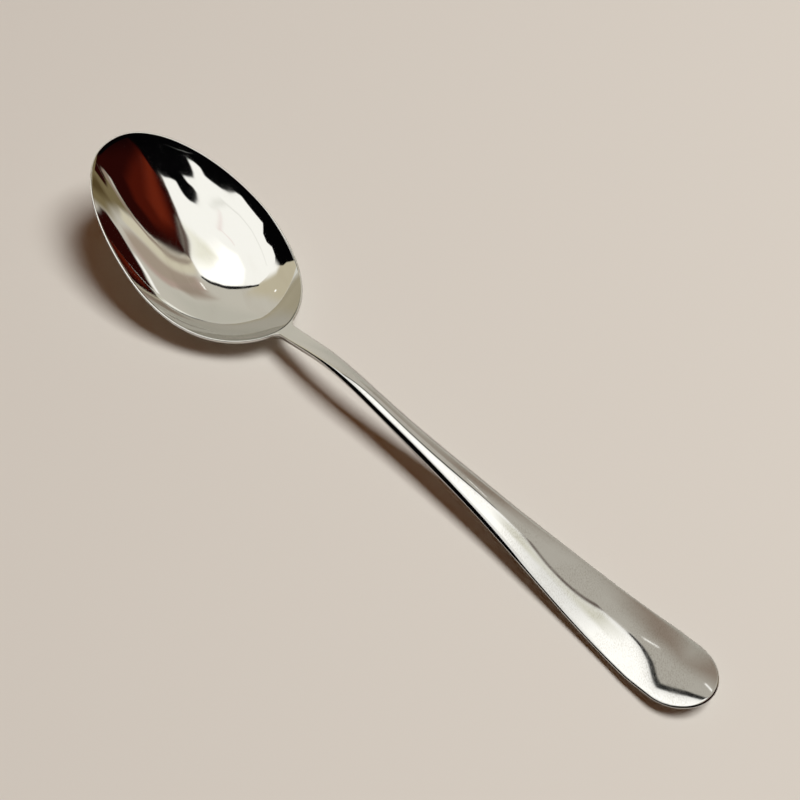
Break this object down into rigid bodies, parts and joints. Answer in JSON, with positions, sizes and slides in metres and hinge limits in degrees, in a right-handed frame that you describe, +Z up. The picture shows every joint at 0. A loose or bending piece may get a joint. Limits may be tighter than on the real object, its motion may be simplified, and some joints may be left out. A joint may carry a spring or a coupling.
{
  "type": "serving spoon",
  "caption": "One-piece polished steel serving spoon: deep egg-shaped bowl, slim arched neck and a crowned handle that widens to a rounded end.",
  "frame": {"origin": "on the surface that the spoon rests on, under the middle of its bounding box", "axes": "+X along the handle from the bowl to the handle's end, +Y across the spoon, +Z up, out of the bowl's mouth"},
  "size_m": [0.24, 0.0488, 0.0317],
  "materials": {
    "polished_steel": "mirror-polished stainless steel"
  },
  "bodies": {
    "root": {"spoon": "polished_steel"}
  },
  "joints": []
}
